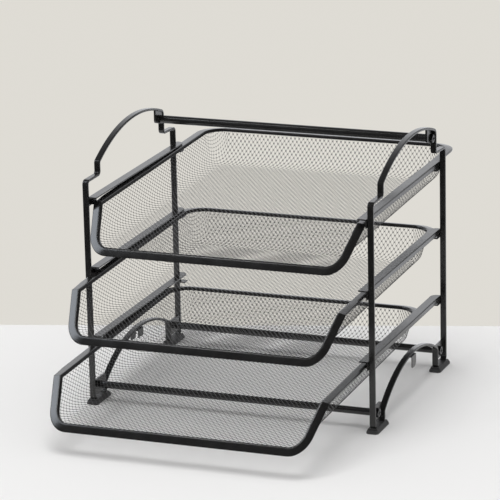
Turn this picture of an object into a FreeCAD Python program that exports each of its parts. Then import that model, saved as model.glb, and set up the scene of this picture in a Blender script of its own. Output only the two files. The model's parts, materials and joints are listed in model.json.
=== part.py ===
"""Three-tier desk tray: bent-bar side frames, tube crossbars, channel rails and three sliding mesh trays.

Millimetres. +X is the user's right, +Y the rear, +Z up. The origin is on the floor, in the middle of the
whole object with its trays pulled out in steps.
"""
import FreeCAD, Part
import math
import os

V = FreeCAD.Vector
X_AXIS = V(1, 0, 0)
Y_AXIS = V(0, 1, 0)
Z_AXIS = V(0, 0, 1)
TOLERANCE = 1e-4             # how near two places count as one

# Side frames: flat bar bent into a closed loop
frame_spacing = 285.0        # between the middles of the two side frames
post_spacing = 218.0         # between the middles of the front and rear posts
bar_width = 6.0              # across X
bar_thick = 2.5              # in the plane of the loop
bar_edge_radius = 0.8
step_above_rail = 14.3       # from the upper rails' top face to the middle of the bar on top of the posts
step_depth = 29.0            # from a post to the leg of the top arch
rear_step_rise = 1.7         # the rear step climbs towards the arch
top_arch_radius = 190.0
top_arch_leg = 12.2          # height of the top arch's front leg over the step
top_arch_crest_y = 13.0
foot_bend_depth = 27.0       # from a post to the leg of the bottom arch
foot_bend_height = 3.0       # middle of the bar under the posts
bottom_arch_radius = 150.0
bottom_arch_leg = 11.0       # height of the bottom arch's front leg over the foot bend
bottom_arch_crest_y = 8.0
step_bend_radius = 3.5
kink_radius = 3.0            # where an arch leaves its front leg
arch_end_radius = 5.5        # where an arch meets its rear leg
foot_bend_radius = 6.0

# Rails: folded channels, open towards the trays
top_rail_height = 207.7      # top face of the upper pair
lower_rail_rise = 26.3       # top face of the lower pair over the crest of the bottom arch
rail_sheet = 1.2
rail_flange = 9.0
rail_lip = 8.2
rail_web = 4.8               # height of the web between the lugs at the rail's ends
front_lug_length = 11.0      # deeper stretch with a lip under the tray rim
rear_lug_length = 8.0
rail_front_overhang = 3.0    # past the middle of the front posts
rail_bend_radius = 1.0
rail_end_radius = 6.5        # rounded rear corner of the flange
rail_headroom = 4.3          # free height over the tray rim
rail_lip_setback = 7.3       # the lip starts this far behind the flange's front end

# Trays
tray_side_clearance = 2.0
tray_seat_gap = 0.3
rim_width = 6.5
rim_thick = 2.0
rim_edge_radius = 0.6
rim_corner_radius = 28.0
tray_length = 290.0          # from the fold at the front to the rear rim
front_lean = 47.0            # degrees that the open front leans forward
front_lip = 5.2              # how far the front rim reaches below the pan
front_corner_radius = 22.0
pan_depth = 34.0
pan_lean = 16.0              # degrees that the side and rear walls lean out
pan_bend_radius = 15.0
pan_sheet = 0.5
window_columns = 12          # openings across the floor and the rear wall, a coarse stand-in for the mesh
window_rows = 12             # openings along the floor and each side wall
window_bar = 3.0             # strip of sheet between two openings
window_edge = 4.0            # strip left along the front, the rims and the bend of the floor
tray_hang = 1.0              # degrees that the trays hang forward in their rails
tray_stop_gap = 1.0          # a pushed-in tray's front rim stops this far from the rail lips
middle_tray_pull = 57.4      # how far the lower trays stand pulled out
lower_tray_pull = 105.4

# Crossbars and their fasteners
top_bar_diameter = 8.0
low_bar_diameter = 7.0
bar_wall = 1.0
top_bar_gap = 0.75           # between the top crossbar and the arch's rear leg
top_bar_hang = 9.0           # middle of the top crossbar under the middle of the arch bar
plate_thick = 2.0
plate_corner_radius = 4.0
top_plate_reach = 13.0       # in front of the top crossbar
top_plate_drop = 6.2         # below the top crossbar, at the arch's rear leg
top_plate_slope = 5.0        # how far its lower edge climbs towards the front
low_plate_height = 15.0
front_plate_lift = 2.1       # over the feet
rear_plate_lift = 4.1
insert_wall = 0.4            # of the plugs in the low crossbars
screw_length = 12.0
screw_head_diameter = 9.0
screw_head_height = 2.4
recess_length = 5.0
recess_width = 1.4
recess_depth = 1.2
hole_clearance = 0.4
thread_clearance = 0.05
insert_length = 14.0

# Feet and stacking clips
foot_width = 8.6             # at the top
foot_flare = 1.8             # how far the sides stand out at the floor
foot_edge_height = 1.4       # of the upright edge at the floor
foot_height = 4.6
foot_toe_height = 2.8        # beyond the legs of the bar
foot_corner_radius = 1.6     # at the top
low_plate_gap = 1.6          # between a foot and the crossbar plate over it
clip_length = 12.0
clip_drop = 11.5             # of the outer blade
clip_inner_drop = 7.5        # of the blade next to the trays
clip_sheet = 0.8
clip_slack = 0.6             # between a blade and a bar of the same width
clip_ahead = 6.0             # middle of the clip in front of the arch's crest
clip_front_radius = 1.5      # lower corners of the blades
clip_rear_radius = 5.0


def arch_fall(distance, radius):
    """How far a round arch has come down at a distance from its crest."""
    return radius - math.sqrt(radius ** 2 - distance ** 2)


# Sizes and places that follow from the driving ones
frame_x = frame_spacing / 2
post_y = post_spacing / 2
arch_leg_y = post_y - step_depth
foot_leg_y = post_y - foot_bend_depth
step_height = top_rail_height + step_above_rail
top_arch_crest = step_height + top_arch_leg + arch_fall(arch_leg_y + top_arch_crest_y, top_arch_radius)
bottom_arch_rise = arch_fall(foot_leg_y + bottom_arch_crest_y, bottom_arch_radius)
bottom_arch_crest = foot_bend_height + bottom_arch_leg + bottom_arch_rise
lower_rail_height = bottom_arch_crest + lower_rail_rise
tier_pitch = (top_rail_height - lower_rail_height) / 2
rail_x = frame_x - bar_width / 2
rail_depth = 2 * rail_sheet + rail_headroom + rim_thick + tray_seat_gap
rail_rear = post_y + bar_thick / 2
rail_front = -post_y - rail_front_overhang
rim_below_rail = rail_sheet + rail_headroom
tray_half = rail_x - rail_sheet - tray_side_clearance
pan_half = tray_half - rim_width
lean = math.tan(math.radians(pan_lean))
lean_cos = math.cos(math.radians(pan_lean))
front_drop = pan_depth + front_lip
front_run = front_drop * math.tan(math.radians(front_lean))
front_slant = math.hypot(front_run, front_drop)
rail_lip_front = rail_front + rail_lip_setback
pushed_in_fold = rail_lip_front - tray_stop_gap
bend_reach = pan_bend_radius * math.tan(math.radians(90 - pan_lean) / 2)
pan_floor_half = pan_half - pan_depth * lean - bend_reach
pan_floor_front = -pan_depth * front_run / front_drop
pan_floor_rear = tray_length - rim_width - pan_depth * lean - bend_reach

RAIL_HEIGHTS = {
    "upper": top_rail_height,
    "middle": lower_rail_height + tier_pitch,
    "lower": lower_rail_height,
}
FOLDS = {
    "upper": pushed_in_fold,
    "middle": pushed_in_fold - middle_tray_pull,
    "lower": pushed_in_fold - lower_tray_pull,
}


def hung_y(y, drop):
    """Where a tray's place at y, so far below its rim's top, comes to lie when the tray hangs forward."""
    hang = math.radians(tray_hang)
    return rail_lip_front + (y - rail_lip_front) * math.cos(hang) + (drop - rim_thick) * math.sin(hang)


front_end = hung_y(min(FOLDS.values()) - front_run, front_drop)
rear_end = hung_y(max(FOLDS.values()) + tray_length, rim_thick / 2)
origin_y = (front_end + rear_end) / 2


def export(shape, name):
    """Moves a piece to the object's own origin and writes it under its name."""
    moved = shape.copy()
    moved.translate(V(0, -origin_y, 0))
    moved.exportStep("parts/" + name + ".step")
    print(f"{name}: {len(moved.Solids)} solid(s), {moved.Volume / 1000:.2f} cm3, valid {moved.isValid()}")


def mirrored(shape):
    """The same piece on the left side."""
    return shape.mirror(V(0, 0, 0), X_AXIS)


def box(x, y, z):
    """A block between two limits along each axis."""
    return Part.makeBox(x[1] - x[0], y[1] - y[0], z[1] - z[0], V(x[0], y[0], z[0]))


def prism(points, direction):
    """A straight-sided block on a polygon."""
    return Part.Face(Part.makePolygon(points + points[:1])).extrude(direction)


def edges_along(shape, direction, place):
    """Straight edges along a direction that pass through a place."""
    found = []
    for edge in shape.Edges:
        if len(edge.Vertexes) < 2:
            continue
        run = edge.Vertexes[1].Point - edge.Vertexes[0].Point
        offset = (edge.Vertexes[0].Point - place).cross(direction)
        straight = run.Length > 0 and run.cross(direction).Length < TOLERANCE * run.Length
        if straight and offset.Length < TOLERANCE:
            found.append(edge)
    return found


def rod(radius, start_x, end_x, y, z):
    """A round bar along X."""
    return Part.makeCylinder(radius, abs(end_x - start_x), V(min(start_x, end_x), y, z), X_AXIS)


# Side frame

def top_arch(y):
    """Height of the top arch at a place along the frame."""
    return top_arch_crest - arch_fall(y - top_arch_crest_y, top_arch_radius)


def bottom_arch(y):
    """Height of the bottom arch at a place along the frame."""
    return bottom_arch_crest - arch_fall(y - bottom_arch_crest_y, bottom_arch_radius)


def side_frame():
    """Right side frame: the middle line of the bar, rounded at its bends, widened to the bar and softened."""
    corners = [
        (-post_y, foot_bend_height, foot_bend_radius),
        (-post_y, step_height, step_bend_radius),
        (-arch_leg_y, step_height, step_bend_radius),
        (-arch_leg_y, top_arch(-arch_leg_y), kink_radius),
        (arch_leg_y, top_arch(arch_leg_y), arch_end_radius),
        (arch_leg_y, step_height + rear_step_rise, step_bend_radius),
        (post_y, step_height, step_bend_radius),
        (post_y, foot_bend_height, foot_bend_radius),
        (foot_leg_y, foot_bend_height, foot_bend_radius),
        (foot_leg_y, bottom_arch(foot_leg_y), arch_end_radius),
        (-foot_leg_y, bottom_arch(-foot_leg_y), kink_radius),
        (-foot_leg_y, foot_bend_height, foot_bend_radius),
    ]
    crests = {
        3: V(0, top_arch_crest_y, top_arch_crest),
        9: V(0, bottom_arch_crest_y, bottom_arch_crest),
    }
    points = [V(0, y, z) for y, z, radius in corners]
    outline = []
    for index, start in enumerate(points):
        end = points[(index + 1) % len(points)]
        if index in crests:
            outline.append(Part.Arc(start, crests[index], end).toShape())
        else:
            outline.append(Part.makeLine(start, end))
    filled = Part.Face(Part.Wire(outline)).extrude(X_AXIS * bar_width)
    for point, (y, z, radius) in zip(points, corners):
        filled = filled.makeFillet(radius, edges_along(filled, X_AXIS, point))
    middle_line = min(filled.Faces, key=lambda face: face.CenterOfMass.x)
    outside = middle_line.makeOffset2D(bar_thick / 2)
    inside = middle_line.makeOffset2D(-bar_thick / 2)
    loop = outside.cut(inside).extrude(X_AXIS * bar_width)
    sides = [face for face in loop.Faces if abs(abs(face.normalAt(0, 0).x) - 1) < TOLERANCE]
    loop = loop.makeFillet(bar_edge_radius, [edge for side in sides for edge in side.Edges])
    loop.translate(V(frame_x - bar_width / 2, 0, 0))
    return loop


# Rails

def rail(height):
    """Right rail: a folded angle whose flange keeps the tray rim down, with a lipped lug at each end."""
    outer = rail_x
    inner = rail_x - rail_sheet
    flange_tip = rail_x - rail_flange
    lip_tip = rail_x - rail_lip
    low = height - rail_depth
    section = [
        (outer, height), (flange_tip, height), (flange_tip, height - rail_sheet),
        (inner, height - rail_sheet), (inner, low + rail_sheet),
        (lip_tip, low + rail_sheet), (lip_tip, low), (outer, low),
    ]
    channel = prism([V(x, rail_front, z) for x, z in section], Y_AXIS * (rail_rear - rail_front))
    folds = edges_along(channel, Y_AXIS, V(outer, 0, height))
    folds += edges_along(channel, Y_AXIS, V(outer, 0, low))
    channel = channel.makeFillet(rail_bend_radius, folds)
    channel = channel.makeFillet(rail_end_radius, edges_along(channel, Z_AXIS, V(flange_tip, rail_rear, 0)))
    channel = channel.cut(box((lip_tip, inner), (rail_front, rail_lip_front), (low, low + rail_sheet)))
    between_lugs = (rail_lip_front + front_lug_length, rail_rear - rear_lug_length)
    return channel.cut(box((lip_tip, outer), between_lugs, (low, height - rail_web)))


# Trays

def pan_block(fold, top, inset, rise, forward):
    """The filled shape of a pressed pan: leaning walls, rounded rear corners and a rounded floor edge.

    inset moves every wall and the floor inwards, rise carries the walls on above the rim, and forward
    carries them on past the slanted front.
    """
    wall_inset = inset / lean_cos
    rear = fold + tray_length - rim_width - wall_inset

    def corner(side, back, z):
        x = side * (pan_half - wall_inset + z * lean)
        y = rear + z * lean if back else fold - forward + z * front_run / front_drop
        return V(x, y, top + z)

    high = {(side, back): corner(side, back, rise) for side in (-1, 1) for back in (0, 1)}
    floor = {(side, back): corner(side, back, inset - pan_depth) for side in (-1, 1) for back in (0, 1)}
    around = [(-1, 0), (1, 0), (1, 1), (-1, 1)]
    rings = [[high[key] for key in around], [floor[key] for key in around]]
    for key, following in zip(around, around[1:] + around[:1]):
        rings.append([high[key], high[following], floor[following], floor[key]])
    faces = [Part.Face(Part.makePolygon(ring + ring[:1])) for ring in rings]
    block = Part.Solid(Part.Shell(faces))
    upright = []
    for side in (-1, 1):
        slope = (high[side, 1] - floor[side, 1]).normalize()
        upright += edges_along(block, slope, floor[side, 1])
    block = block.makeFillet(rim_corner_radius - rim_width - inset, upright)
    floor_z = floor[1, 1].z
    front_y = floor[1, 0].y
    bends = []
    for edge in block.Edges:
        on_floor = all(abs(vertex.Point.z - floor_z) < TOLERANCE for vertex in edge.Vertexes)
        if on_floor and edge.CenterOfMass.y > front_y + TOLERANCE:
            bends.append(edge)
    return block.makeFillet(pan_bend_radius - inset, bends)


def window_spans(start, end, count):
    """Limits of evenly spaced openings, with a bar between neighbours and half a bar at each end."""
    pitch = (end - start) / count
    half_bar = window_bar / 2
    return [(start + i * pitch + half_bar, start + (i + 1) * pitch - half_bar) for i in range(count)]


def pan_windows(fold, top):
    """Blocks that cut the openings into the floor, the side walls and the rear wall of a pan."""
    columns = window_spans(-pan_floor_half, pan_floor_half, window_columns)
    floor_rows = window_spans(fold + pan_floor_front + window_edge, fold + pan_floor_rear, window_rows)
    wall_rows = window_spans(fold, fold + pan_floor_rear, window_rows)
    floor = top - pan_depth
    through_floor = (floor - pan_sheet, floor + 2 * pan_sheet)
    wall = (floor + window_edge, top - rim_thick - window_edge)
    blocks = [box(x, y, through_floor) for x in columns for y in floor_rows]
    blocks += [box(x, (fold + pan_floor_rear, fold + tray_length), wall) for x in columns]
    for side in ((-tray_half, -pan_floor_half), (pan_floor_half, tray_half)):
        blocks += [box(side, y, wall) for y in wall_rows]
    return blocks


def tray_mesh(fold, top):
    """The pressed pan, open at the top and at the slanted front, with a grid of openings."""
    outside = pan_block(fold, top, 0, 0, 0)
    overrun = rim_width
    pan = outside.cut(pan_block(fold, top, pan_sheet, overrun, 2 * overrun))
    return pan.cut(pan_windows(fold, top))


def tray_rim(fold, top):
    """Flat rim along the left, rear and right of the pan."""
    rear = fold + tray_length
    band = box((-tray_half, tray_half), (fold, rear), (top - rim_thick, top))
    corners = []
    for x in (-tray_half, tray_half):
        corners += edges_along(band, Z_AXIS, V(x, rear, 0))
    band = band.makeFillet(rim_corner_radius, corners)
    outer_edges = []
    for edge in band.Edges:
        level = abs(edge.Vertexes[0].Point.z - edge.Vertexes[-1].Point.z) < TOLERANCE
        if level and edge.CenterOfMass.y > fold + TOLERANCE:
            outer_edges.append(edge)
    band = band.makeFillet(rim_edge_radius, outer_edges)
    return band.cut(pan_block(fold, top, 0, rim_width, rim_width))


def front_rim(fold, top):
    """Flat U-shaped band that lies in the slanted plane of the pan's open front."""
    down = V(0, -front_run, -front_drop) / front_slant
    out = V(0, -front_drop, front_run) / front_slant
    narrowing = lean * front_drop / front_slant
    fold_middle_point = V(0, fold, top)
    overrun = 2 * rim_thick

    def place(side, slant):
        return fold_middle_point + X_AXIS * (side * (tray_half - slant * narrowing)) + down * slant

    outline = [place(-1, -overrun), place(-1, front_slant), place(1, front_slant), place(1, -overrun)]
    band = prism(outline, out * -rim_thick)
    corners = edges_along(band, out, outline[1]) + edges_along(band, out, outline[2])
    band = band.makeFillet(front_corner_radius, corners)
    outer_edges = []
    for edge in band.Edges:
        across = abs((edge.Vertexes[1].Point - edge.Vertexes[0].Point).dot(out)) > TOLERANCE
        at_top = (edge.CenterOfMass - fold_middle_point).dot(down) < TOLERANCE - overrun
        if not across and not at_top:
            outer_edges.append(edge)
    band = band.makeFillet(rim_edge_radius, outer_edges)
    band = band.cut(pan_block(fold, top, 0, rim_width, 2 * rim_width))
    behind_fold = box((-frame_x, frame_x), (fold, fold + tray_length), (top - front_drop, top + front_drop))
    return band.cut(behind_fold)


# Crossbars, plates and fasteners

top_bar_y = arch_leg_y - bar_thick / 2 - top_bar_gap - top_bar_diameter / 2
low_bar_y = (post_y + foot_leg_y) / 2
low_bar_seat = foot_height + low_plate_gap + low_plate_height / 2
CROSSBARS = {
    "top": (top_bar_y, top_arch(top_bar_y) - top_bar_hang, top_bar_diameter),
    "front": (-low_bar_y, low_bar_seat + front_plate_lift, low_bar_diameter),
    "rear": (low_bar_y, low_bar_seat + rear_plate_lift, low_bar_diameter),
}
screw_diameter = low_bar_diameter - 2 * (bar_wall + insert_wall + 2 * thread_clearance)
plate_inner_x = rail_x + bar_edge_radius
plate_outer_x = plate_inner_x + plate_thick


def crossbar(y, height, diameter):
    """Tube between the inner faces of two plates."""
    tube = rod(diameter / 2, -plate_inner_x, plate_inner_x, y, height)
    return tube.cut(rod(diameter / 2 - bar_wall, -plate_inner_x, plate_inner_x, y, height))


def crossbar_plate(name, frame):
    """Right bracket plate, flush with the inner flats of the bars round it, drilled for the screw."""
    y, height = CROSSBARS[name][:2]
    if name == "top":
        near, far = y - top_plate_reach, arch_leg_y
        low, high = height - top_plate_drop, top_arch(near)
        front_low = low + top_plate_slope
        rounded = V(0, near, front_low)
    else:
        near, far = sorted((math.copysign(post_y, y), math.copysign(foot_leg_y, y)))
        low, high = height - low_plate_height / 2, height + low_plate_height / 2
        front_low = low
        rounded = V(0, math.copysign(foot_leg_y, y), high)
    corners = [(near, front_low), (far, low), (far, high), (near, high), (near, front_low)]
    outline = Part.makePolygon([V(plate_inner_x, *corner) for corner in corners])
    plate = Part.Face(outline).extrude(X_AXIS * plate_thick)
    plate = plate.makeFillet(plate_corner_radius, edges_along(plate, X_AXIS, rounded))
    plate = plate.cut(rod((screw_diameter + hole_clearance) / 2, plate_inner_x, plate_outer_x, y, height))
    pieces = plate.cut(frame).Solids
    return max(pieces, key=lambda piece: piece.Volume)


def crossbar_screw(y, height):
    """Right pan-head screw with a cross recess, from the outside of the plate into the insert."""
    head_top = plate_outer_x + screw_head_height
    head = rod(screw_head_diameter / 2, plate_outer_x, head_top, y, height)
    crown = [edge for edge in head.Edges if abs(edge.CenterOfMass.x - head_top) < TOLERANCE]
    head = head.makeFillet(screw_head_height / 2, crown)
    for span_y, span_z in ((recess_length, recess_width), (recess_width, recess_length)):
        slot_y = (y - span_y / 2, y + span_y / 2)
        slot_z = (height - span_z / 2, height + span_z / 2)
        head = head.cut(box((head_top - recess_depth, head_top), slot_y, slot_z))
    return head.fuse(rod(screw_diameter / 2, plate_outer_x - screw_length, plate_outer_x, y, height))


def crossbar_insert(y, height, diameter):
    """Threaded plug inside the right end of a tube."""
    plug_radius = diameter / 2 - bar_wall - thread_clearance
    plug = rod(plug_radius, plate_inner_x - insert_length, plate_inner_x, y, height)
    return plug.cut(rod(screw_diameter / 2 + thread_clearance, 0, frame_x, y, height))


# Feet and stacking clips

def foot(toe, frame):
    """Right foot: a low pad with leaning sides round the bend of the bar, lower beyond the bar's two legs."""
    wall = (foot_width - bar_width) / 2
    core = foot_width / 2 - foot_corner_radius
    near, far = sorted((toe * post_y, toe * foot_leg_y))
    bar_run = (near - bar_thick / 2, far + bar_thick / 2)
    core_run = (bar_run[0] - wall + foot_corner_radius, bar_run[1] + wall - foot_corner_radius)
    corners = [(-core, core_run[0]), (core, core_run[0]), (core, core_run[1]), (-core, core_run[1])]

    def outline(spread, z):
        """Rounded rectangle round the bar at one height."""
        ring = Part.makePolygon([V(frame_x + x, y, z) for x, y in corners + corners[:1]])
        return ring.makeOffset2D(foot_corner_radius + spread)

    pad = Part.Face(outline(foot_flare, 0)).extrude(Z_AXIS * foot_edge_height)
    sides = [outline(foot_flare, foot_edge_height), outline(0, foot_height)]
    pad = pad.fuse(Part.makeLoft(sides, True, True))
    reach = wall + foot_flare
    for toe_run in ((bar_run[0] - reach, bar_run[0]), (bar_run[1], bar_run[1] + reach)):
        over_toe = box((frame_x - foot_width, frame_x + foot_width), toe_run, (foot_toe_height, foot_height))
        pad = pad.cut(over_toe)
    return pad.removeSplitter().cut(frame)


def stacking_clip(frame):
    """Right clip: a channel under the bottom arch, open below, that grips the bar of a stand under it."""
    arch_underside = bottom_arch_radius - bar_thick / 2
    half_gap = bar_width / 2 + clip_slack
    half_width = half_gap + clip_sheet
    front = bottom_arch_crest_y - clip_ahead - clip_length / 2
    run = (front, front + clip_length)
    high = bottom_arch_crest - bar_thick / 2
    top = high - arch_fall(bottom_arch_crest_y - front, arch_underside)
    low = top - clip_drop
    channel = box((frame_x - half_width, frame_x + half_width), run, (low, high)).cut(frame)
    for y, radius in zip(run, (clip_front_radius, clip_rear_radius)):
        channel = channel.makeFillet(radius, edges_along(channel, X_AXIS, V(0, y, low)))
    channel = channel.cut(box((frame_x - half_gap, frame_x + half_gap), run, (low, top - clip_sheet)))
    return channel.cut(box((frame_x - half_width, frame_x - half_gap), run, (low, top - clip_inner_drop)))


def build():
    """Makes every piece and writes it out."""
    os.makedirs("parts", exist_ok=True)
    frame = side_frame()
    pairs = {"side_frame": frame, "stacking_clip": stacking_clip(frame)}
    for tier, height in RAIL_HEIGHTS.items():
        pairs[tier + "_rail"] = rail(height)
    for name in CROSSBARS:
        pairs[name + "_bracket"] = crossbar_plate(name, frame)
    pairs["front_foot"] = foot(-1, frame)
    pairs["rear_foot"] = foot(1, frame)
    for name, right in pairs.items():
        export(right, name + "_right")
        export(mirrored(right), name + "_left")
    screws = []
    inserts = []
    for name, (y, height, diameter) in CROSSBARS.items():
        export(crossbar(y, height, diameter), name + "_crossbar")
        screw = crossbar_screw(y, height)
        insert = crossbar_insert(y, height, diameter)
        screws += [screw, mirrored(screw)]
        inserts += [insert, mirrored(insert)]
    export(Part.Compound(screws), "crossbar_screws")
    export(Part.Compound(inserts), "crossbar_inserts")
    for tier, fold in FOLDS.items():
        top = RAIL_HEIGHTS[tier] - rim_below_rail
        seat = V(0, rail_lip_front, top - rim_thick)
        tray = {"mesh": tray_mesh(fold, top), "rim": tray_rim(fold, top), "front_rim": front_rim(fold, top)}
        for name, piece in tray.items():
            piece.rotate(seat, X_AXIS, tray_hang)
            export(piece, f"{tier}_tray_{name}")


build()
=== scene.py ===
# %% [markdown]
# # A three-tier desk tray
# Two bent side frames carry three pairs of rails, and a tray of black mesh slides on each pair.
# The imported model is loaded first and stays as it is. It says where every piece goes, so a new piece
# only takes its sizes from the boxes of the nodes that it stands for.

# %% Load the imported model
import json
import math

import bpy
import numpy as np
from mathutils import Matrix

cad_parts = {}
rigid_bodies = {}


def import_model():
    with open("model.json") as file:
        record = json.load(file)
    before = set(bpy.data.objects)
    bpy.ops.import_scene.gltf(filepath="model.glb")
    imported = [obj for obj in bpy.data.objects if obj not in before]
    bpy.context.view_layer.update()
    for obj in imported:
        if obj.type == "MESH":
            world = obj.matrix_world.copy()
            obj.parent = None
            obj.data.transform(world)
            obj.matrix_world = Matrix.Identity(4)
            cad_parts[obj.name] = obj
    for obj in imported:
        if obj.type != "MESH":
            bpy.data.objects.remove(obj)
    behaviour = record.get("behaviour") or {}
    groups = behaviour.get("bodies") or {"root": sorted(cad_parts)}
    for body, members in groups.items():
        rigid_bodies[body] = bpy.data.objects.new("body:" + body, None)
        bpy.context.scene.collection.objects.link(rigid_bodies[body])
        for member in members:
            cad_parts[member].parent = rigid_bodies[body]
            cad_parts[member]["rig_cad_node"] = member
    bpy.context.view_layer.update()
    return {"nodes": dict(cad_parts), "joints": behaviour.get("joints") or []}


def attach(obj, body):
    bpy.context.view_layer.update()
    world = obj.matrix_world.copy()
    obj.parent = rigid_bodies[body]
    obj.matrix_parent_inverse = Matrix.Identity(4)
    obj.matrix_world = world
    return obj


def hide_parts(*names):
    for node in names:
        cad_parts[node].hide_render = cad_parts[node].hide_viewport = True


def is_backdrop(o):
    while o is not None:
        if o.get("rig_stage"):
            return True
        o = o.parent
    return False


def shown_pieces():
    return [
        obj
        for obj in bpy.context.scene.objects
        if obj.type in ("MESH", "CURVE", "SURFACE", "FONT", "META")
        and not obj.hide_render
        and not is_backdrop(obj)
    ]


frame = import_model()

# %% [markdown]
# ## Camera
# The photograph was taken from the right of the front, a little above the trays, from far away.
# A camera could be aimed by eye, but the directions of the posts, rails and trays in the photograph
# fix it: a long lens, three angles and one place bring the corners back to within a few pixels.

# %% Camera
MM = 0.001
PHOTO_SIDE = 500             # pixels along one side of the photograph
FOCAL_LENGTH = 3195.17       # pixels
SENSOR_SIDE = 36.0           # millimetres
CAMERA_PLACE = (1.062864, -2.743094, 0.999033)
CAMERA_ANGLES = (21.288, 16.178, 1.278)    # degrees of azimuth, elevation and roll


def camera_axes(azimuth, elevation, roll):
    """Right, up and back of a camera. Back points from the object to the camera, right is level and square
    to it, up is their cross product, and the roll turns right and up about back."""
    back = np.array((math.sin(azimuth) * math.cos(elevation),
                     -math.cos(azimuth) * math.cos(elevation),
                     math.sin(elevation)))
    level = np.array((math.cos(azimuth), math.sin(azimuth), 0.0))
    upright = np.cross(back, level)
    right = math.cos(roll) * level - math.sin(roll) * upright
    up = math.sin(roll) * level + math.cos(roll) * upright
    return right, up, back


camera_data = bpy.data.cameras.new("photo_camera")
camera_data.sensor_width = SENSOR_SIDE
camera_data.lens = FOCAL_LENGTH * SENSOR_SIDE / PHOTO_SIDE
camera = bpy.data.objects.new("photo_camera", camera_data)
bpy.context.scene.collection.objects.link(camera)
camera_frame = np.eye(4)
camera_frame[:3, :3] = np.column_stack(camera_axes(*np.radians(CAMERA_ANGLES)))
camera_frame[:3, 3] = CAMERA_PLACE
camera.matrix_world = Matrix(camera_frame.tolist())
bpy.context.scene.camera = camera
bpy.context.scene.view_settings.view_transform = "Standard"
print("lens", round(camera_data.lens, 2), "mm")

# %% [markdown]
# ## Table and wall
# The object stands on a white table in front of a warm grey wall. Both could be built as sheets, but the
# black paint would then mirror them just as they are. Here the floor is one large sheet. Behind one
# straight line the camera sees the wall's grey on it instead of the table, and mirrored rays see a brighter
# wall there, which goes dark to the right. In front of the table's edge mirrored rays see a dark room.

# %% Small helpers for node trees
def add_node(tree, kind, **settings):
    """A new node of that kind. A setting that names an input sets its value, and any other an attribute."""
    node = tree.nodes.new(kind)
    for name, value in settings.items():
        label = name.replace("_", " ").title()
        if label in node.inputs:
            node.inputs[label].default_value = value
        else:
            setattr(node, name, value)
    return node


def join(tree, source, target):
    """One link from an output socket to an input socket."""
    tree.links.new(source, target)


def smooth_range(tree, span, levels=(0.0, 1.0)):
    """A Map Range node. Over the span of its value it eases from the first level to the second."""
    return add_node(tree, "ShaderNodeMapRange", interpolation_type="SMOOTHSTEP", from_min=span[0],
                    from_max=span[1], to_min=levels[0], to_max=levels[1])


print("node trees of Blender", bpy.app.version_string)

# %% The floor's sheet
TABLE_WHITE = (0.865, 0.86, 0.855, 1)
WALL_GREY = (0.735, 0.713, 0.662, 1)
ROOM_TONE = (0.96, 0.97, 1.0, 1)
ROOM_LEVEL = 1.15            # mirrored brightness near the horizon, behind the trays
FLOOR_REACH = 9.0            # metres from the middle to each edge
WALL_LINE_TURN = math.radians(16.56)    # of the wall's foot, from the X axis
WALL_LINE_AWAY = 0.2178      # metres from the origin
WALL_LINE_BLUR = 0.003       # metres over which the table turns into the wall
DARK_ROOM = (0.035, 0.035, 0.035, 1)
TABLE_END = (-0.28, -0.42)   # metres to the front between which mirrored rays pass the table's edge
DARK_RIGHT = (0.2, 1.1)      # metres to the right between which the mirrored wall goes dark
RIGHT_SHARE = 0.12           # of the mirrored brightness, to the right

floor_mesh = bpy.data.meshes.new("floor")
floor_corners = FLOOR_REACH * np.array(((-1, -1, 0), (1, -1, 0), (1, 1, 0), (-1, 1, 0)))
floor_mesh.from_pydata(floor_corners.tolist(), [], [(0, 1, 2, 3)])
floor = bpy.data.objects.new("floor", floor_mesh)
bpy.context.scene.collection.objects.link(floor)
floor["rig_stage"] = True
print("floor", 2 * FLOOR_REACH, "m wide")

# %% The floor's paint
floor_paint = bpy.data.materials.new("floor_paint")
floor_paint.use_nodes = True
tree = floor_paint.node_tree
shader = tree.nodes["Principled BSDF"]
shader.inputs["Roughness"].default_value = 0.9
shader.inputs["Specular IOR Level"].default_value = 0.1
place = add_node(tree, "ShaderNodeTexCoord")
across_line = (-math.sin(WALL_LINE_TURN), math.cos(WALL_LINE_TURN), 0)
away = add_node(tree, "ShaderNodeVectorMath", operation="DOT_PRODUCT")
away.inputs[1].default_value = across_line
behind = add_node(tree, "ShaderNodeMapRange", from_min=WALL_LINE_AWAY,
                  from_max=WALL_LINE_AWAY + WALL_LINE_BLUR)
split = add_node(tree, "ShaderNodeSeparateXYZ")
past_table = smooth_range(tree, TABLE_END)
floor_rays = add_node(tree, "ShaderNodeLightPath")
mirrored_front = add_node(tree, "ShaderNodeMath", operation="MULTIPLY")
seen_behind = add_node(tree, "ShaderNodeMath", operation="MULTIPLY")
mirrored_behind = add_node(tree, "ShaderNodeMath", operation="MULTIPLY")
tone = add_node(tree, "ShaderNodeMix", data_type="RGBA")
tone.inputs[6].default_value = TABLE_WHITE
tone.inputs[7].default_value = DARK_ROOM
wall_seen = add_node(tree, "ShaderNodeEmission", color=WALL_GREY, strength=1.0)
wall_mirrored = add_node(tree, "ShaderNodeEmission", color=ROOM_TONE)
to_right = smooth_range(tree, DARK_RIGHT, (ROOM_LEVEL, ROOM_LEVEL * RIGHT_SHARE))
with_wall = add_node(tree, "ShaderNodeMixShader")
with_room = add_node(tree, "ShaderNodeMixShader")
join(tree, place.outputs["Object"], away.inputs[0])
join(tree, away.outputs["Value"], behind.inputs["Value"])
join(tree, place.outputs["Object"], split.inputs[0])
join(tree, split.outputs["Y"], past_table.inputs["Value"])
join(tree, split.outputs["X"], to_right.inputs["Value"])
join(tree, to_right.outputs["Result"], wall_mirrored.inputs["Strength"])
for mask, ray, product in ((past_table, "Is Glossy Ray", mirrored_front),
                           (behind, "Is Camera Ray", seen_behind),
                           (behind, "Is Glossy Ray", mirrored_behind)):
    join(tree, mask.outputs["Result"], product.inputs[0])
    join(tree, floor_rays.outputs[ray], product.inputs[1])
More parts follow.
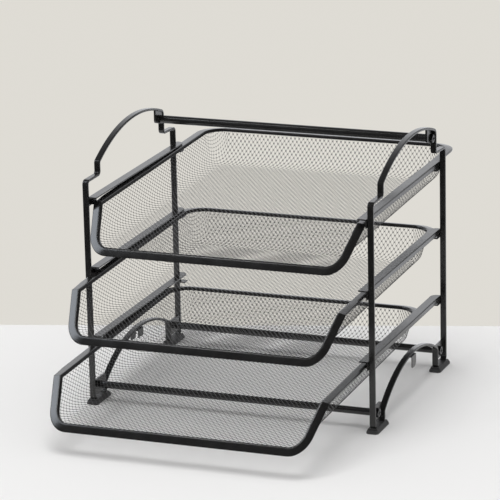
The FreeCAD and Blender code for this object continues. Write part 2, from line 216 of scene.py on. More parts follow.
join(tree, mirrored_front.outputs["Value"], tone.inputs["Factor"])
join(tree, tone.outputs[2], shader.inputs["Base Color"])
join(tree, seen_behind.outputs["Value"], with_wall.inputs[0])
join(tree, shader.outputs[0], with_wall.inputs[1])
join(tree, wall_seen.outputs[0], with_wall.inputs[2])
join(tree, mirrored_behind.outputs["Value"], with_room.inputs[0])
join(tree, with_wall.outputs[0], with_room.inputs[1])
join(tree, wall_mirrored.outputs[0], with_room.inputs[2])
join(tree, with_room.outputs[0], tree.nodes["Material Output"].inputs["Surface"])
floor_mesh.materials.append(floor_paint)
print("nodes of the floor's paint", len(tree.nodes))

# %% [markdown]
# ## Room
# Black paint has hardly any colour of its own, so its looks are what it mirrors: a pale wall behind, a dark
# ceiling, and little light from the front and the right. A picture of a room could surround the object,
# but a few smooth ramps over the direction are enough. Each kind of ray gets its share: the camera sees the
# wall, mirrored rays see the room, and all other rays see an even pale light.

# %% World
EVEN_LIGHT = 0.58            # brightness of the light from all sides
CEILING_SHARE = 0.06         # of the room's level, overhead
FRONT_SHARE = 0.12           # of the room's level, towards the front
CEILING_SPAN = (0.3, 0.95)   # sines of the elevations between which the wall gives way to the ceiling
FRONT_SPAN = (-0.7, 0.3)     # how far a direction points to the rear, from the front's share to all of it
RIGHT_SPAN = (0.1, 0.45)     # how far it points to the right, from all of it to the right's share

world = bpy.data.worlds.new("studio")
world.use_nodes = True
bpy.context.scene.world = world
tree = world.node_tree
tree.nodes.clear()
direction = add_node(tree, "ShaderNodeTexCoord")
parts = add_node(tree, "ShaderNodeSeparateXYZ")
upward = smooth_range(tree, CEILING_SPAN, (ROOM_LEVEL, ROOM_LEVEL * CEILING_SHARE))
rearward = smooth_range(tree, FRONT_SPAN, (FRONT_SHARE, 1.0))
rightward = smooth_range(tree, RIGHT_SPAN, (1.0, RIGHT_SHARE))
behind_level = add_node(tree, "ShaderNodeMath", operation="MULTIPLY")
level = add_node(tree, "ShaderNodeMath", operation="MULTIPLY")
even = add_node(tree, "ShaderNodeBackground", color=(1, 1, 1, 1), strength=EVEN_LIGHT)
room = add_node(tree, "ShaderNodeBackground", color=ROOM_TONE)
wall = add_node(tree, "ShaderNodeBackground", color=WALL_GREY, strength=1.0)
rays = add_node(tree, "ShaderNodeLightPath")
mirrored = add_node(tree, "ShaderNodeMath", operation="MAXIMUM")
seen = add_node(tree, "ShaderNodeMixShader")
seen_or_wall = add_node(tree, "ShaderNodeMixShader")
output = add_node(tree, "ShaderNodeOutputWorld")
join(tree, direction.outputs["Generated"], parts.inputs[0])
join(tree, parts.outputs["Z"], upward.inputs["Value"])
join(tree, parts.outputs["Y"], rearward.inputs["Value"])
join(tree, parts.outputs["X"], rightward.inputs["Value"])
join(tree, rearward.outputs["Result"], behind_level.inputs[0])
join(tree, rightward.outputs["Result"], behind_level.inputs[1])
join(tree, upward.outputs["Result"], level.inputs[0])
join(tree, behind_level.outputs["Value"], level.inputs[1])
join(tree, level.outputs["Value"], room.inputs["Strength"])
join(tree, rays.outputs["Is Glossy Ray"], mirrored.inputs[0])
join(tree, rays.outputs["Is Transmission Ray"], mirrored.inputs[1])
join(tree, mirrored.outputs["Value"], seen.inputs[0])
join(tree, even.outputs[0], seen.inputs[1])
join(tree, room.outputs[0], seen.inputs[2])
join(tree, rays.outputs["Is Camera Ray"], seen_or_wall.inputs[0])
join(tree, seen.outputs[0], seen_or_wall.inputs[1])
join(tree, wall.outputs[0], seen_or_wall.inputs[2])
join(tree, seen_or_wall.outputs[0], output.inputs["Surface"])
print("even light", EVEN_LIGHT, "room", ROOM_LEVEL)

# %% [markdown]
# ## Lamps
# In the photograph daylight from the left makes the left sides of the rims shine, while the shadow on the
# table falls almost straight down. One lamp could give both, but then either the paint or the table gets
# too much of it. So the daylight is a card that only shows as a shine in the paint, the light overhead only
# falls on dull surfaces, and one small lamp over the front does both.


# %% Lamps
def add_lamp(name, kind, place, target, **settings):
    """A lamp of that kind whose axis runs from its place to the target. The camera doesn't see it."""
    data = bpy.data.lights.new(name, kind)
    for label, value in settings.items():
        setattr(data, label, value)
    lamp = bpy.data.objects.new(name, data)
    bpy.context.scene.collection.objects.link(lamp)
    back = np.array(place) - np.array(target)
    back = back / np.linalg.norm(back)
    right = np.cross((0, 0, 1), back)
    right = right / np.linalg.norm(right)
    turned = np.eye(4)
    turned[:3, :3] = np.column_stack((right, np.cross(back, right), back))
    turned[:3, 3] = place
    lamp.matrix_world = Matrix(turned.tolist())
    lamp.visible_camera = False
    return lamp


TRAYS_MIDDLE = (0.0, 0.0, 0.12)
DAYLIGHT = (0.86, 0.92, 1.0)
CARD_PLACE = (-1.096, -0.477, 1.149)
CARD_TARGET = (-0.356, -0.207, -0.011)
CARD_SIDE = 0.75             # metres
OVERHEAD_PLACE = (-0.1, -0.2, 2.5)
OVERHEAD_SPREAD = math.radians(40)      # how large the lamp is, as seen from the table
FRONT_LAMP_PLACE = (-0.7, -0.74, 1.85)
FRONT_LAMP_SIDE = 0.2        # metres
sheen = add_lamp("left_daylight", "AREA", CARD_PLACE, CARD_TARGET, energy=8.0, shape="RECTANGLE",
                 size=CARD_SIDE, size_y=CARD_SIDE, color=DAYLIGHT)
sheen.visible_diffuse = False
overhead = add_lamp("overhead_light", "SUN", OVERHEAD_PLACE, TRAYS_MIDDLE, energy=1.42,
                    angle=OVERHEAD_SPREAD)
overhead.visible_glossy = False
add_lamp("front_lamp", "AREA", FRONT_LAMP_PLACE, TRAYS_MIDDLE, energy=1.0, size=FRONT_LAMP_SIDE)
print("lamps", [lamp.name for lamp in bpy.data.lights])

# %% [markdown]
# ## The pan of a tray
# Each tray is pressed from one flat blank: a level floor, a round bend, and walls that lean outwards.
# The front has no wall, and the pan ends there in a slanted plane.
# A point of the blank is folded by how far it lies past the floor's straight edges. That distance runs
# round the bend and then up the wall. At a rear corner the distance is taken from the corner of the
# floor, which turns the wall about an upright axis and squeezes the mesh there, as the press does.
# The trays hang a little forward in their rails. So each is worked out level first and then turned about
# the X axis by the angle of its slide, and the CAD nodes are turned back level to be measured.

# %% Level trays and hanging trays
slide = frame["joints"][0]["axis"]
HANG = math.atan2(-slide[2], -slide[1])
HANG_TURN = np.array(((1, 0, 0),
                      (0, math.cos(HANG), -math.sin(HANG)),
                      (0, math.sin(HANG), math.cos(HANG))))


def level_box(node):
    """Lowest and highest corner of a CAD node after it is turned back level."""
    data = frame["nodes"][node].data
    points = np.empty(3 * len(data.vertices))
    data.vertices.foreach_get("co", points)
    level = points.reshape(-1, 3) @ HANG_TURN
    return level.min(axis=0), level.max(axis=0)


def hung(points):
    """Points of a level tray, turned about the X axis to where the tray hangs."""
    return points @ HANG_TURN.T


print("the trays hang", round(math.degrees(HANG), 2), "degrees forward")

# %% The sizes of a tray
TIERS = ("upper", "middle", "lower")
PAN_LEAN = math.radians(16.0)      # how far the walls lean out
FRONT_LEAN = math.radians(47.0)    # how far the open front leans forward
PAN_BEND = 15.0 * MM               # outside radius between the floor and a wall

rim_low, rim_high = level_box("upper_tray_rim")
pan_low, pan_high = level_box("upper_tray_mesh")
front_low = level_box("upper_tray_front_rim")[0]
PAN_DEPTH = rim_high[2] - pan_low[2]
PAN_HALF = pan_high[0]
PAN_REAR = pan_high[1] - rim_low[1]        # from the fold of the rim to the rear wall's top
RIM_WIDTH = rim_high[0] - pan_high[0]
RIM_THICK = rim_high[2] - rim_low[2]
wall_angle = math.pi / 2 - PAN_LEAN
bend_length = PAN_BEND * wall_angle
straight_length = (PAN_DEPTH - PAN_BEND * (1 - math.cos(wall_angle))) / math.sin(wall_angle)
WALL_LENGTH = bend_length + straight_length


def wall_profile(distance):
    """How far out, how far up and how steep the pan is, at a distance past the floor's edge.
    Round the bend the slope is the distance over the radius; above it the wall is straight."""
    slope = np.clip(distance / PAN_BEND, 0.0, wall_angle)
    beyond = np.maximum(distance - bend_length, 0.0)
    out = PAN_BEND * np.sin(slope) + beyond * math.cos(wall_angle)
    up = PAN_BEND * (1 - np.cos(slope)) + beyond * math.sin(wall_angle)
    return out, up, slope


wall_reach = float(wall_profile(np.array(WALL_LENGTH))[0])
FLOOR_HALF = PAN_HALF - wall_reach
FLOOR_REAR = PAN_REAR - wall_reach
TINY = 1e-12                 # metres, keeps a division by a distance away from nought


def past_floor(blank):
    """How far points of the blank lie past the floor's straight edges, as vectors and as lengths."""
    past = np.stack((np.sign(blank[:, 0]) * np.maximum(np.abs(blank[:, 0]) - FLOOR_HALF, 0.0),
                     np.maximum(blank[:, 1] - FLOOR_REAR, 0.0)), axis=1)
    return past, np.hypot(past[:, 0], past[:, 1])


def folded(blank, lift):
    """Where a point of the flat blank goes, with the rim's fold line as the origin.
    Its distance past the floor's edges goes out and up along the wall's profile, in the direction in which
    it passed them, and lift carries it inwards, square to the sheet."""
    past, distance = past_floor(blank)
    toward = past / np.maximum(distance, TINY)[:, None]
    out, up, slope = wall_profile(distance)
    level = blank - past + toward * (out - lift * np.sin(slope))[:, None]
    return np.column_stack((level, up - PAN_DEPTH + lift * np.cos(slope)))


def front_edge(across):
    """How far back the slanted front cuts the blank: the height there times the tangent of the lean."""
    up = wall_profile(np.maximum(np.abs(across) - FLOOR_HALF, 0.0))[1]
    return (up - PAN_DEPTH) * math.tan(FRONT_LEAN)


print("floor", round(2 * FLOOR_HALF / MM, 1), "mm wide")
print("wall", round(WALL_LENGTH / MM, 1), "mm along the sheet")

# %% [markdown]
# ## Expanded mesh
# The sheet is slit in staggered rows and pulled, so each slit opens to a tall six-sided hole. Two long
# strands leave each knot on either side, and the pull tips the knots a little.
# An image with holes would look flat from low down, where the thickness of the strands is most of what
# one sees. So every strand is real: six points for each hole, in two layers, with faces between them.

# %% The flat mesh
HOLE_PITCH_X = 4.5 * MM       # short way of the diamond
HOLE_PITCH_Y = 6.6 * MM       # long way of the diamond
STRAND_WIDTH = 0.18 * MM
STRAND_THICK = 0.17 * MM
STRAND_LIFT = 0.1 * MM        # from the outside of the CAD sheet to the strands
KNOT_SIDE = 0.78 * MM         # half the straight side of a hole, where a knot is
KNOT_TIP = 0.08 * MM          # height that the tilt of the knots gives their edges
EDGE_TUCK = 0.9 * MM          # how far short of the rim's top the sheet ends, inside the channel
LEAST_MOVE = 1e-9             # metres from which a trimmed point counts as moved


def hole_lattice():
    """Row and column numbers of the holes, staggered so that their sum is even, over the whole blank."""
    columns = int((FLOOR_HALF + WALL_LENGTH) / (HOLE_PITCH_X / 2)) + 3
    first = int(front_edge(np.zeros(1))[0] / (HOLE_PITCH_Y / 2)) - 3
    last = int((FLOOR_REAR + WALL_LENGTH) / (HOLE_PITCH_Y / 2)) + 3
    column, row = np.meshgrid(np.arange(-columns, columns + 1), np.arange(first, last + 1))
    return column, row, (column + row) % 2 == 0


def hole_corners():
    """The six corners of one hole about its middle, anticlockwise from the lower right, and their lifts.
    A strand's edges run beside the line from knot to knot, half its width away. Where such an edge is
    KNOT_SIDE above the middle is the side's end, and where it meets the middle line is the tip."""
    half = np.array((HOLE_PITCH_X, HOLE_PITCH_Y)) / 2
    square = half[::-1] / np.hypot(*half)
    edge = square @ (half / 2) - STRAND_WIDTH / 2
    side = (edge - square[1] * KNOT_SIDE) / square[0]
    tip = edge / square[1]
    corners = np.array(((side, -KNOT_SIDE), (side, KNOT_SIDE), (0, tip),
                        (-side, KNOT_SIDE), (-side, -KNOT_SIDE), (0, -tip)))
    return corners, KNOT_TIP * np.array((1, 1, 0, -1, -1, 0))


def trimmed(blank):
    """The blank's points, brought back to its outline: to the wall's length past the floor, less the tuck,
    and to the slanted front. Also tells which points were moved."""
    past, distance = past_floor(blank)
    share = np.minimum(1.0, (WALL_LENGTH - EDGE_TUCK) / np.maximum(distance, TINY))
    inside = blank - past + past * share[:, None]
    inside[:, 1] = np.maximum(inside[:, 1], front_edge(inside[:, 0]) + EDGE_TUCK)
    return inside, np.abs(inside - blank).max(axis=1) > LEAST_MOVE


print("hole corners in mm", np.round(hole_corners()[0] / MM, 2).tolist())

# %% Faces of the mesh
LEAST_AREA = 1e-11            # square metres; trimming shrinks some faces to less


def polygon_area(points):
    """Signed area of flat polygons: half the sum of the cross products of neighbouring corners."""
    following = np.roll(points, -1, axis=1)
    return 0.5 * (points[..., 0] * following[..., 1] - following[..., 0] * points[..., 1]).sum(axis=1)


def mesh_faces():
    """Corners, lifts and faces of the flat mesh, all trimmed to the outline.
    A knot joins the four holes round it in a hexagon, a strand joins two holes in a quad, and a wall goes
    round each hole. The lower layer repeats the upper one the other way round, and every edge that the
    trimming left open gets a wall of its own."""
    column, row, there = hole_lattice()
    number = np.full(column.shape, -1)
    number[there] = np.arange(there.sum())
    ring, tilt = hole_corners()
    middle = np.column_stack((column[there] * HOLE_PITCH_X / 2, row[there] * HOLE_PITCH_Y / 2))
    blank = (middle[:, None, :] + ring[None, :, :]).reshape(-1, 2)
    lifts = np.tile(tilt, len(middle))
    blank, moved = trimmed(blank)

    def hole(up, right):
        """Numbers of the holes that lie so many rows up and columns right of each inner hole."""
        rows, columns = number.shape
        return number[1 + up:rows - 1 + up, 1 + right:columns - 2 + right]

    left, right = hole(0, 0), hole(0, 2)
    above, below = hole(1, 1), hole(-1, 1)
    whole = (left >= 0) & (right >= 0) & (above >= 0) & (below >= 0)
    left, right, above, below = left[whole] * 6, right[whole] * 6, above[whole] * 6, below[whole] * 6
    knots = np.column_stack((left, below + 2, right + 4, right + 3, above + 5, left + 1))
    rising = np.column_stack((left + 1, above + 5, above + 4, left + 2))
    falling = np.column_stack((left, left + 5, below + 3, below + 2))
    strands = np.vstack((rising, falling))
    upper = [faces[polygon_area(blank[faces]) > LEAST_AREA] for faces in (knots, strands)]

    start = np.arange(len(middle) * 6)
    end = np.where(start % 6 == 5, start - 5, start + 1)
    kept = ~(moved[start] & moved[end])
    used = np.concatenate([np.stack((f, np.roll(f, -1, axis=1)), axis=2).reshape(-1, 2) for f in upper])
    count = len(blank)
    code = used[:, 0] * count + used[:, 1]
    kept &= np.isin(end * count + start, code)
    rims = np.column_stack((start, end))[kept]
    closed = np.concatenate((code, rims[:, 0] * count + rims[:, 1]))
    open_edges = used[~np.isin(used[:, 1] * count + used[:, 0], closed)]
    walls = np.concatenate((rims, open_edges[:, ::-1]))
    walls = np.column_stack((walls, walls[:, ::-1] + count))
    lower = [faces[:, ::-1] + count for faces in upper]
    return blank, lifts, middle, [*upper, *lower, walls]


blank, lifts, hole_middles, sheet_faces = mesh_faces()
print("holes", len(hole_middles), "faces", sum(len(faces) for faces in sheet_faces))


# %% Put a mesh into the scene
def add_piece(name, points, faces, body, stands_for):
    """A new piece from arrays of points and of faces. It rides on its body and stands for CAD nodes."""
    data = bpy.data.meshes.new(name)
    data.from_pydata(points.tolist(), [], [face for group in faces for face in group.tolist()])
    data.validate()
    piece = bpy.data.objects.new(name, data)
    bpy.context.scene.collection.objects.link(piece)
    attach(piece, body)
    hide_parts(*stands_for)
    return piece


def fold_place(tier):
    """Middle of the line where a level tray's rim meets its slanted front rim, at the rim's top."""
    low, high = level_box(tier + "_tray_rim")
    return np.array((0.0, low[1], high[2]))


print("fold of the upper tray", fold_place("upper").round(4).tolist())

# %% The three pans
MAP_MARGIN = 0.01             # of the map's side, left empty round it
MAP_HALF = (0.49, 1.0)        # width and height that one layer takes
MAP_LOWER = (0.5, 0.0)        # from the upper layer's place to the lower layer's
WALL_LEANING = 0.2            # of the way from a hole's edge to its middle


def bake_map(piece, flat, faces):
    """The piece's own map for baking. The upper layer takes the left half, the lower layer the right, and a
    hole's walls lean into the empty hole, so that no two faces share a place."""
    low, high = flat.min(axis=0), flat.max(axis=0)

    def on_map(points):
        """Place on the map: the share of the way from the lowest to the highest corner, less the margin."""
        return (MAP_MARGIN + (1 - 2 * MAP_MARGIN) * (points - low) / (high - low)) * MAP_HALF

    upper = on_map(flat)
    both = np.concatenate((upper, upper + MAP_LOWER))
    corners = [both[group].reshape(-1, 2) for group in faces[:-1]]
    walls = faces[-1]
    owner = np.repeat(on_map(hole_middles), 6, axis=0)
    top = upper[walls[:, :2]]
    leaning = top[:, ::-1] * (1 - WALL_LEANING) + WALL_LEANING * owner[walls[:, 1::-1]]
    corners.append(np.clip(np.concatenate((top, leaning), axis=1), 0.0, 1.0).reshape(-1, 2))
    layer = piece.data.uv_layers.new(name="OFBake")
    layer.data.foreach_set("uv", np.concatenate(corners).astype(np.float32).ravel())


pans = {}
sheet_points = np.concatenate((folded(blank, lifts + STRAND_LIFT + STRAND_THICK),
                               folded(blank, lifts + STRAND_LIFT)))
for tier in TIERS:
    pan = add_piece(tier + "_mesh_pan", hung(sheet_points + fold_place(tier)), sheet_faces, tier + "_tray",
                    [tier + "_tray_mesh"])
    bake_map(pan, blank, sheet_faces)
    pans[tier] = pan
triangles = sum(len(polygon.vertices) - 2 for polygon in pans["upper"].data.polygons)
print("triangles of one pan", triangles)

# %% [markdown]
# ## Rims
# A flat steel band is folded over the edge of the mesh. Its outer part slopes away a little, though hardly
# where it runs under the rails. Its inner edge turns down as a lip, so that the cut ends of the mesh are
# caught in a channel. The band could be a plain bar, but the slope and the lip are what catch the light.
# One profile is carried along two paths: round the sides and the rear, and down, across and up the open
# front. The ends of both bands are cut along the plane that halves the angle of the fold.

# %% The band's profile and its paths
CROWN_FALL = 1.25 * MM        # how much lower the outer edge is than the crest
RAIL_CROWN_FALL = 0.1 * MM    # the same under the rails
LIP_DROP = 2.9 * MM
LIP_THICK = 0.75 * MM
LIP_SPACE = 0.85 * MM         # from the pan's outside to the lip


def band_profile(fall):
    """Corner points of the band's cross-section: across, outwards from the pan's wall, and up from the
    crest. They go round it once, over the top to the outer edge, back below, and up into the channel."""
    lean = math.tan(PAN_LEAN)
    inner = -(LIP_SPACE + LIP_THICK)
    drop = lean * LIP_DROP
    corners = (
        (inner - drop, -LIP_DROP), (inner - 0.25 * drop, -0.8 * MM), (inner + 0.1 * MM, -0.3 * MM),
        (inner + 0.4 * MM, -0.08 * MM), (inner + 0.9 * MM, 0.0), (0.3 * MM, -0.02 * MM),
        (1.2 * MM, -0.12 * MM), (RIM_WIDTH - 1.1 * MM, -fall + 0.08 * MM),
        (RIM_WIDTH - 0.5 * MM, -fall - 0.06 * MM), (RIM_WIDTH - 0.16 * MM, -fall - 0.2 * MM),
        (RIM_WIDTH, -fall - 0.42 * MM), (RIM_WIDTH - 0.1 * MM, -RIM_THICK + 0.12 * MM),
        (RIM_WIDTH - 0.35 * MM, -RIM_THICK), (0.9 * MM, -RIM_THICK), (0.35 * MM, -RIM_THICK + 0.1 * MM),
        (0.3 * MM, -0.6 * MM), (-LIP_SPACE + 0.1 * MM, -0.55 * MM), (-LIP_SPACE - drop, -LIP_DROP))
    return np.array(corners)


def along(points, normals, across, stretch):
    """The profile carried along a path of level points: each of its points lies so far across, along the
    path's outward normal, times the stretch where that is outwards."""
    out = np.where(across > 0, across * stretch[:, None], across)
    return points[:, None, :] + normals[:, None, :] * out[..., None]


def band_faces(stations, corners):
    """Quads between neighbouring stations, and one flat face over each end."""
    station, corner = np.meshgrid(np.arange(stations - 1), np.arange(corners), indexing="ij")
    following = (corner + 1) % corners
    quads = np.stack((station * corners + corner, station * corners + following,
                      (station + 1) * corners + following, (station + 1) * corners + corner), axis=2)
    first = np.arange(corners)[None, ::-1]
    last = np.arange(corners)[None, :] + (stations - 1) * corners
    return [quads.reshape(-1, 4), first, last]


def both_halves(points, normals):
    """The left half of a path, up to its middle, and then its mirror image on the right."""
    mirror = np.array((-1.0, 1.0))
    return [np.concatenate((half, half[-2::-1] * mirror)) for half in (points, normals)]


profile, rail_profile = band_profile(CROWN_FALL), band_profile(RAIL_CROWN_FALL)
print("profile points", len(profile))

# %% Rim round the sides and the rear
CORNER_STEPS = 24
SIDE_STEPS = 12
half_mitre = math.tan((math.pi / 2 - FRONT_LEAN) / 2)


def side_path():
    """Points and outward normals of the wall's top edge: back along the left, round both rear corners and
    forward along the right. Each corner is a quarter circle about the corner of the floor."""
    side = np.linspace(0, FLOOR_REAR, SIDE_STEPS, endpoint=False)
    turn = np.linspace(0, math.pi / 2, CORNER_STEPS)
    back = np.linspace(-FLOOR_HALF, 0, SIDE_STEPS + 1)[1:]
    corner = np.column_stack((-np.cos(turn), np.sin(turn)))
    points = np.concatenate((np.column_stack((np.full(len(side), -PAN_HALF), side)),
                             corner * wall_reach + (-FLOOR_HALF, FLOOR_REAR),
                             np.column_stack((back, np.full(len(back), PAN_REAR)))))
    normals = np.concatenate((np.tile((-1.0, 0.0), (len(side), 1)), corner,
                              np.tile((0.0, 1.0), (len(back), 1))))
    return both_halves(points, normals)


def side_band():
    """The profile along the side path, level, with both ends moved back to the plane that halves the fold.
    The crown's share of the heights is one at the ends and, behind them, the square of the normal's Y."""
    points, normals = side_path()
    level = along(points, normals, profile[:, 0], np.ones(len(points)))
    crowned = normals[:, 1:] ** 2
    crowned[[0, -1]] = 1.0
    heights = crowned * profile[:, 1] + (1 - crowned) * rail_profile[:, 1]
    band = np.concatenate((level, heights[..., None]), axis=2)
    band[[0, -1], :, 1] = -profile[:, 1] * half_mitre
    return band


print("stations of the side band", len(side_band()))

# %% Rim down, across and up the open front
FRONT_STEPS = 20
SHARP_FROM = math.radians(40)      # a larger angle between two faces is shaded as an edge
front_down = np.array((0.0, -math.sin(FRONT_LEAN), -math.cos(FRONT_LEAN)))
front_out = np.array((0.0, -math.cos(FRONT_LEAN), math.sin(FRONT_LEAN)))
FRONT_SLANT = (rim_high[2] - front_low[2]) / math.cos(FRONT_LEAN)


def front_path():
    """Points and outward normals, in the slanted plane, of the pan's edge there: its wall profile with the
    heights divided by the cosine of the lean. The band widens from the uprights to the bottom."""
    distance = np.concatenate((np.linspace(WALL_LENGTH, bend_length, SIDE_STEPS, endpoint=False),
                               np.linspace(bend_length, 0, CORNER_STEPS)))
    out, up, slope = wall_profile(distance)
    upright = np.column_stack((-FLOOR_HALF - out, (PAN_DEPTH - up) / math.cos(FRONT_LEAN)))
    steep = np.column_stack((-np.sin(slope) / math.cos(FRONT_LEAN), np.cos(slope)))
    steep = steep / np.linalg.norm(steep, axis=1)[:, None]
    bottom = np.linspace(-FLOOR_HALF, 0, FRONT_STEPS + 1)[1:]
    points = np.concatenate((upright, np.column_stack((bottom, np.full(len(bottom), upright[-1, 1])))))
    normals = np.concatenate((steep, np.tile((0.0, 1.0), (len(bottom), 1))))
    return both_halves(points, normals)


def front_band():
    """The profile along the front path, laid into the slanted plane, with both ends cut at the fold."""
    points, normals = front_path()
    bottom_width = FRONT_SLANT - RIM_THICK * math.tan(FRONT_LEAN) - PAN_DEPTH / math.cos(FRONT_LEAN)
    stretch = 1 + (bottom_width / RIM_WIDTH - 1) * normals[:, 1] ** 2
    flat = along(points, normals, profile[:, 0], stretch)
    flat[[0, -1], :, 1] = -profile[:, 1] * half_mitre
    across = flat[..., :1] * np.array((1.0, 0.0, 0.0))
    return across + flat[..., 1:] * front_down + profile[None, :, 1:] * front_out


for tier in TIERS:
    for name, band in (("rim", side_band()), ("front_rim", front_band())):
        faces = band_faces(len(band), len(profile))
        points = hung(band.reshape(-1, 3) + fold_place(tier))
        piece = add_piece(f"{tier}_{name}_band", points, faces, tier + "_tray",
                          [f"{tier}_tray_{name}"])
        piece.data.shade_smooth()
        piece.data.set_sharp_from_angle(angle=SHARP_FROM)

# %% [markdown]
# ## Finishes
# Frame, rails, rims and mesh carry the same black powder coat. Melted powder leaves a fine orange peel and
# patches that are a little duller and more faded. A painted picture could show them, but it would need a
# map of every piece. Two noises over the object's own coordinates need none, and as one node group each
# finish takes them at its own scale and strength.

# %% The grain of powder coat
PEEL_SHARE = 0.35             # how much the peel counts beside the patches
PATCH_SPAN = (0.45, 0.95)     # levels of their sum from the smooth paint to the dull


def new_group(name, inputs, outputs):
    """An empty shader node group with those sockets, given as names and kinds, and its two end nodes."""
    group = bpy.data.node_groups.new(name, "ShaderNodeTree")
    for label, kind in inputs:
        group.interface.new_socket(name=label, in_out="INPUT", socket_type="NodeSocket" + kind)
    for label, kind in outputs:
        group.interface.new_socket(name=label, in_out="OUTPUT", socket_type="NodeSocket" + kind)
    return group, group.nodes.new("NodeGroupInput"), group.nodes.new("NodeGroupOutput")


def make_coat_grain():
    """Fine noise is the peel's height and coarse noise the dull patches. By the patches plus a share of the
    peel, the colour goes from paint to faded and the roughness from smooth to dull."""
    group, given, result = new_group(
        "coat_grain",
        [("Position", "Vector"), ("Peel Scale", "Float"), ("Patch Scale", "Float"), ("Paint", "Color"),
         ("Faded", "Color"), ("Smooth", "Float"), ("Dull", "Float")],
        [("Colour", "Color"), ("Roughness", "Float"), ("Height", "Float")])
    peel = add_node(group, "ShaderNodeTexNoise", detail=2.0, roughness=0.5)
    patch = add_node(group, "ShaderNodeTexNoise", detail=4.0, roughness=0.6)
    both = add_node(group, "ShaderNodeMath", operation="MULTIPLY_ADD")
    both.inputs[1].default_value = PEEL_SHARE
    spread = add_node(group, "ShaderNodeMapRange", from_min=PATCH_SPAN[0], from_max=PATCH_SPAN[1])
    gloss = add_node(group, "ShaderNodeMapRange", from_min=0.0, from_max=1.0)
    shade = add_node(group, "ShaderNodeMix", data_type="RGBA")
    join(group, given.outputs["Position"], peel.inputs["Vector"])
    join(group, given.outputs["Position"], patch.inputs["Vector"])
    join(group, given.outputs["Peel Scale"], peel.inputs["Scale"])
    join(group, given.outputs["Patch Scale"], patch.inputs["Scale"])
    join(group, peel.outputs[0], both.inputs[0])
    join(group, patch.outputs[0], both.inputs[2])
    join(group, both.outputs[0], spread.inputs["Value"])
    join(group, spread.outputs["Result"], gloss.inputs["Value"])
    join(group, given.outputs["Smooth"], gloss.inputs["To Min"])
    join(group, given.outputs["Dull"], gloss.inputs["To Max"])
    join(group, spread.outputs["Result"], shade.inputs["Factor"])
    join(group, given.outputs["Paint"], shade.inputs[6])
    join(group, given.outputs["Faded"], shade.inputs[7])
    join(group, shade.outputs[2], result.inputs["Colour"])
    join(group, gloss.outputs["Result"], result.inputs["Roughness"])
    join(group, peel.outputs[0], result.inputs["Height"])
    return group


coat_grain = make_coat_grain()
print("group", coat_grain.name)

# %% [markdown]
# ## Edges
# A coat flows away from sharp edges, so they end up a little rounder, barer and smoother than the flats.
# Every edge could be bevelled as geometry. Here the shader looks round each point instead, over a radius
# of about half a millimetre, and the turn of that average normal tells where an edge is.

# %% The edge of a coat
EDGE_SPAN = (0.99, 0.8)       # cosines of the turn, from none of an edge to all of it
BREAK_SCALE = 220.0           # of the noise that breaks the edges up, per metre
BREAK_SPAN = (0.35, 0.65)
BREAK_LEVELS = (0.45, 1.0)


def make_edge_wear():
    """The rounded normal is the average over the radius. Its dot product with the true normal falls below
    one near an edge, and noise breaks that mask up."""
    group, given, result = new_group(
        "edge_wear",
        [("Position", "Vector"), ("Radius", "Float")],
        [("Edge", "Float"), ("Normal", "Vector")])
    rounded = add_node(group, "ShaderNodeBevel", samples=4)
    true = add_node(group, "ShaderNodeNewGeometry")
    match = add_node(group, "ShaderNodeVectorMath", operation="DOT_PRODUCT")
    edge = add_node(group, "ShaderNodeMapRange", from_min=EDGE_SPAN[0], from_max=EDGE_SPAN[1])
    breaks = add_node(group, "ShaderNodeTexNoise", scale=BREAK_SCALE, detail=3.0)
    uneven = add_node(group, "ShaderNodeMapRange", from_min=BREAK_SPAN[0], from_max=BREAK_SPAN[1],
                      to_min=BREAK_LEVELS[0], to_max=BREAK_LEVELS[1])
    worn = add_node(group, "ShaderNodeMath", operation="MULTIPLY")
    join(group, given.outputs["Radius"], rounded.inputs["Radius"])
    join(group, given.outputs["Position"], breaks.inputs["Vector"])
    join(group, rounded.outputs[0], match.inputs[0])
    join(group, true.outputs["Normal"], match.inputs[1])
    join(group, match.outputs["Value"], edge.inputs["Value"])
    join(group, breaks.outputs[0], uneven.inputs["Value"])
    join(group, edge.outputs["Result"], worn.inputs[0])
    join(group, uneven.outputs["Result"], worn.inputs[1])
    join(group, worn.outputs["Value"], result.inputs["Edge"])
    join(group, rounded.outputs[0], result.inputs["Normal"])
    return group


edge_wear = make_edge_wear()
print("group", edge_wear.name)

# %% [markdown]
# ## Coats, plastic and metal
# The steel is coated, the feet are moulded plastic, and the screws and inserts are plated. Each could have
# a shader of its own, but they differ only in colour, gloss and grain, so one function makes them all.

# %% Coats, plastic and metal
RUBBED_SHARE = 2.2           # how much lighter than the faded paint a rubbed edge is
EDGE_POLISH = 0.05           # how much less rough it is
BLACK, WASHED_BLACK = (0.010, 0.0097, 0.0094), (0.015, 0.0147, 0.0143)


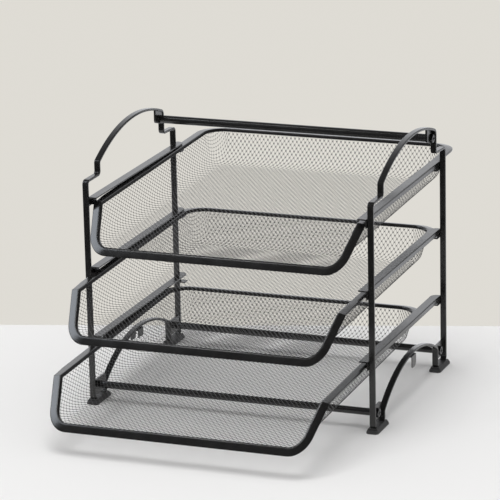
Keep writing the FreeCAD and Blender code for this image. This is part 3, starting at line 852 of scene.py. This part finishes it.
def coated(name, paint, faded, smooth, dull, peel_scale, patch_scale, bump,
           metallic=0.0, index=1.5, edge=0.0):
    """A finish made of the grain group and one Principled shader. Bump is the peel's height in metres, and
    the index of refraction says how strongly the coat mirrors. With an edge radius, edges are rounded and
    go to the rubbed colour."""
    material = bpy.data.materials.new(name)
    material.use_nodes = True
    tree = material.node_tree
    shader = tree.nodes["Principled BSDF"]
    shader.inputs["Metallic"].default_value = metallic
    shader.inputs["IOR"].default_value = index
    place = add_node(tree, "ShaderNodeTexCoord")
    grain = tree.nodes.new("ShaderNodeGroup")
    grain.node_tree = coat_grain
    for label, value in (("Paint", (*paint, 1)), ("Faded", (*faded, 1)), ("Smooth", smooth), ("Dull", dull),
                         ("Peel Scale", peel_scale), ("Patch Scale", patch_scale)):
        grain.inputs[label].default_value = value
    relief = add_node(tree, "ShaderNodeBump", distance=bump)
    relief.inputs["Strength"].default_value = 1.0
    join(tree, place.outputs["Object"], grain.inputs["Position"])
    colour, roughness = grain.outputs["Colour"], grain.outputs["Roughness"]
    if edge:
        wear = tree.nodes.new("ShaderNodeGroup")
        wear.node_tree = edge_wear
        wear.inputs["Radius"].default_value = edge
        rubbed = add_node(tree, "ShaderNodeMix", data_type="RGBA")
        rubbed.inputs[7].default_value = (*(RUBBED_SHARE * np.array(faded)), 1)
        polished = add_node(tree, "ShaderNodeMath", operation="MULTIPLY_ADD")
        polished.inputs[1].default_value = -EDGE_POLISH
        join(tree, place.outputs["Object"], wear.inputs["Position"])
        join(tree, wear.outputs["Edge"], rubbed.inputs["Factor"])
        join(tree, colour, rubbed.inputs[6])
        join(tree, wear.outputs["Edge"], polished.inputs[0])
        join(tree, roughness, polished.inputs[2])
        join(tree, wear.outputs["Normal"], relief.inputs["Normal"])
        colour, roughness = rubbed.outputs[2], polished.outputs["Value"]
    join(tree, colour, shader.inputs["Base Color"])
    join(tree, roughness, shader.inputs["Roughness"])
    join(tree, grain.outputs["Height"], relief.inputs["Height"])
    join(tree, relief.outputs["Normal"], shader.inputs["Normal"])
    return material


finishes = {
    "frame_coat": coated("frame_coat", BLACK, WASHED_BLACK, smooth=0.17, dull=0.26, peel_scale=900,
                         patch_scale=70, bump=0.35e-5, index=1.6, edge=0.5 * MM),
    "tray_rim": coated("rim_coat", BLACK, WASHED_BLACK, smooth=0.16, dull=0.24, peel_scale=900,
                       patch_scale=70, bump=0.3e-5, index=1.6, edge=0.4 * MM),
    "mesh": coated("mesh_coat", (0.013, 0.0125, 0.012), (0.022, 0.021, 0.020), smooth=0.32, dull=0.46,
                   peel_scale=1400, patch_scale=60, bump=0.8e-5),
    "foot_plastic": coated("foot_plastic", (0.03, 0.03, 0.03), (0.05, 0.05, 0.05), smooth=0.42, dull=0.58,
                           peel_scale=2200, patch_scale=90, bump=2e-5, edge=0.8 * MM),
    "screw": coated("screw_black", (0.05, 0.05, 0.052), (0.09, 0.09, 0.092), smooth=0.16, dull=0.28,
                    peel_scale=1600, patch_scale=200, bump=0.6e-5, metallic=1.0, edge=0.4 * MM),
    "insert": coated("insert_steel", (0.5, 0.5, 0.5), (0.6, 0.6, 0.6), smooth=0.25, dull=0.4,
                     peel_scale=1600, patch_scale=200, bump=0.6e-5, metallic=1.0),
}
print("finishes", list(finishes))

# %% [markdown]
# ## A finish for every piece
# Each CAD node came with a slot, which says what it is made of. Finishes could be given out by name, one
# piece at a time, but the slots do it for all, and the new pieces take the finish of their own slot.

# %% Every piece gets its finish
given_slots = {}
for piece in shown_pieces():
    if "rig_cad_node" in piece:
        given_slots[piece.name] = piece.data.materials[0].name.split(".")[0]
for name, slot in given_slots.items():
    bpy.data.objects[name].data.materials[0] = finishes[slot]
for tier in TIERS:
    pans[tier].data.materials.append(finishes["mesh"])
    for name in ("rim", "front_rim"):
        bpy.data.objects[f"{tier}_{name}_band"].data.materials.append(finishes["tray_rim"])
print("CAD nodes dressed", len(given_slots))
